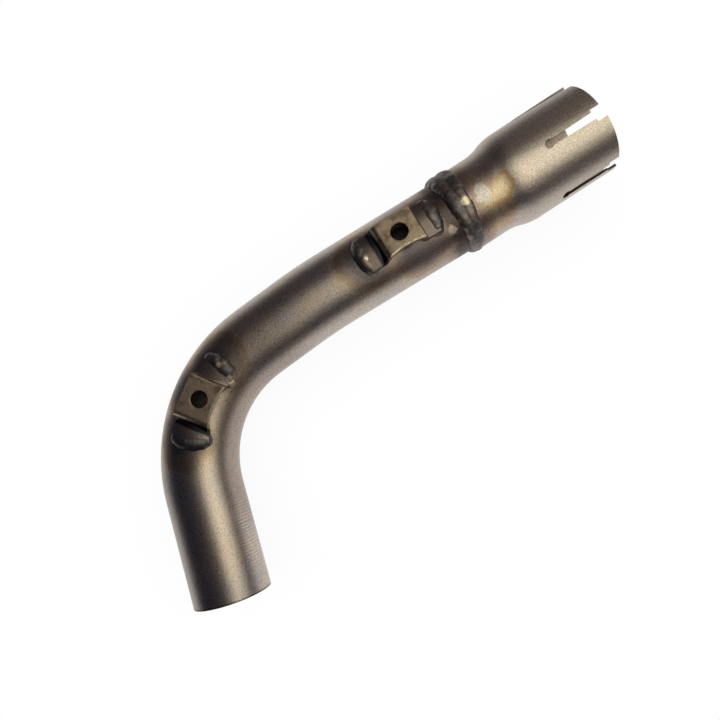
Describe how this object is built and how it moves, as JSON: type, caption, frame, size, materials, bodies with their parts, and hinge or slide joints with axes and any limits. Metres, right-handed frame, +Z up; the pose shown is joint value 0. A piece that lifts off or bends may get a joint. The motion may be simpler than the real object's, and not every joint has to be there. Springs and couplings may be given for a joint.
{
  "type": "exhaust link pipe",
  "caption": "Bent stainless exhaust link pipe with a slotted, flared slip socket welded on its outlet and raised strip brackets on top for a heat shield.",
  "frame": {"origin": "middle of the bounding box's bottom, on the surface that the pipe lies on", "axes": "+X in plan along the outlet run of the tube and out of the socket, +Z up from the surface to the brackets' side, +Y to the outer side of the bend"},
  "size_m": [0.2256, 0.1062, 0.0378],
  "materials": {
    "tube_steel": "fine satin stainless with a brown heat tint",
    "sleeve_steel": "fine satin stainless with a straw to brown heat tint by the weld",
    "bracket_steel": "dull satin stainless with a brown heat tint",
    "weld_metal": "rippled, dark grey, partly bright"
  },
  "bodies": {
    "root": {"link_tube": "tube_steel", "slip_sleeve": "sleeve_steel", "sleeve_weld": "weld_metal", "bend_bracket": "bracket_steel", "bend_bracket_inlet_weld": "weld_metal", "bend_bracket_outlet_weld": "weld_metal", "straight_bracket": "bracket_steel", "straight_bracket_inlet_weld": "weld_metal", "straight_bracket_outlet_weld": "weld_metal"}
  },
  "joints": []
}
